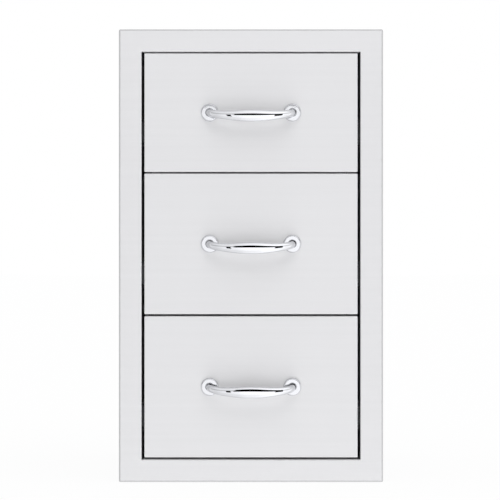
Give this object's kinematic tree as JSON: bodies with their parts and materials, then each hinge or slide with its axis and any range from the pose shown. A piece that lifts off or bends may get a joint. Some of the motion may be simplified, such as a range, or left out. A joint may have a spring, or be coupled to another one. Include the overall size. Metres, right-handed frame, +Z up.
{
  "type": "outdoor kitchen drawer unit",
  "caption": "Built-in stainless steel drawer unit with a picture-frame face, flush fronts, bow handles and full-extension slides in a closed cabinet.",
  "frame": {"origin": "bottom centre of the whole unit's box: middle of the width and of the depth from bow to cabinet back, level with the bottom edge of the face frame", "axes": "+X to the right seen from the front, the fronts face -Y and open along -Y, +Z up"},
  "size_m": [0.4318, 0.5804, 0.7398],
  "materials": {
    "brushed_stainless": "fine satin brushing",
    "sheet_stainless": "plain mill finish",
    "zinc_plated_steel": "bright zinc plating",
    "polished_chrome": "mirror polish",
    "black_rubber": "matt"
  },
  "bodies": {
    "cabinet": {"face_frame": "brushed_stainless", "cabinet_left_side": "sheet_stainless", "cabinet_right_side": "sheet_stainless", "cabinet_top": "sheet_stainless", "cabinet_bottom": "sheet_stainless", "cabinet_back": "sheet_stainless", "top_left_slide_outer": "zinc_plated_steel", "top_left_slide_stop": "black_rubber", "top_right_slide_outer": "zinc_plated_steel", "top_right_slide_stop": "black_rubber", "middle_left_slide_outer": "zinc_plated_steel", "middle_left_slide_stop": "black_rubber", "middle_right_slide_outer": "zinc_plated_steel", "middle_right_slide_stop": "black_rubber", "bottom_left_slide_outer": "zinc_plated_steel", "bottom_left_slide_stop": "black_rubber", "bottom_right_slide_outer": "zinc_plated_steel", "bottom_right_slide_stop": "black_rubber"},
    "top_drawer": {"top_front_skin": "brushed_stainless", "top_front_liner": "sheet_stainless", "top_box_tub": "sheet_stainless", "top_box_back": "sheet_stainless", "top_handle": "polished_chrome", "top_left_rosette": "polished_chrome", "top_right_rosette": "polished_chrome", "top_left_handle_screw": "zinc_plated_steel", "top_right_handle_screw": "zinc_plated_steel", "top_left_slide_inner": "zinc_plated_steel", "top_right_slide_inner": "zinc_plated_steel"},
    "top_slide_middles": {"top_left_slide_middle": "zinc_plated_steel", "top_right_slide_middle": "zinc_plated_steel"},
    "middle_drawer": {"middle_front_skin": "brushed_stainless", "middle_front_liner": "sheet_stainless", "middle_box_tub": "sheet_stainless", "middle_box_back": "sheet_stainless", "middle_handle": "polished_chrome", "middle_left_rosette": "polished_chrome", "middle_right_rosette": "polished_chrome", "middle_left_handle_screw": "zinc_plated_steel", "middle_right_handle_screw": "zinc_plated_steel", "middle_left_slide_inner": "zinc_plated_steel", "middle_right_slide_inner": "zinc_plated_steel"},
    "middle_slide_middles": {"middle_left_slide_middle": "zinc_plated_steel", "middle_right_slide_middle": "zinc_plated_steel"},
    "bottom_drawer": {"bottom_front_skin": "brushed_stainless", "bottom_front_liner": "sheet_stainless", "bottom_box_tub": "sheet_stainless", "bottom_box_back": "sheet_stainless", "bottom_handle": "polished_chrome", "bottom_left_rosette": "polished_chrome", "bottom_right_rosette": "polished_chrome", "bottom_left_handle_screw": "zinc_plated_steel", "bottom_right_handle_screw": "zinc_plated_steel", "bottom_left_slide_inner": "zinc_plated_steel", "bottom_right_slide_inner": "zinc_plated_steel"},
    "bottom_slide_middles": {"bottom_left_slide_middle": "zinc_plated_steel", "bottom_right_slide_middle": "zinc_plated_steel"}
  },
  "joints": [
    {"name": "top_drawer_slide", "type": "slide", "parent": "cabinet", "child": "top_drawer", "axis": [0, -1, 0], "range_m": [0, 0.445]},
    {"name": "top_middle_slide", "type": "slide", "parent": "cabinet", "child": "top_slide_middles", "axis": [0, -1, 0], "range_m": [0, 0.2225]},
    {"name": "middle_drawer_slide", "type": "slide", "parent": "cabinet", "child": "middle_drawer", "axis": [0, -1, 0], "range_m": [0, 0.445]},
    {"name": "middle_middle_slide", "type": "slide", "parent": "cabinet", "child": "middle_slide_middles", "axis": [0, -1, 0], "range_m": [0, 0.2225]},
    {"name": "bottom_drawer_slide", "type": "slide", "parent": "cabinet", "child": "bottom_drawer", "axis": [0, -1, 0], "range_m": [0, 0.445]},
    {"name": "bottom_middle_slide", "type": "slide", "parent": "cabinet", "child": "bottom_slide_middles", "axis": [0, -1, 0], "range_m": [0, 0.2225]}
  ],
  "couplings": [
    {"joint": "top_middle_slide", "follows": "top_drawer_slide", "ratio": 0.5},
    {"joint": "middle_middle_slide", "follows": "middle_drawer_slide", "ratio": 0.5},
    {"joint": "bottom_middle_slide", "follows": "bottom_drawer_slide", "ratio": 0.5}
  ]
}
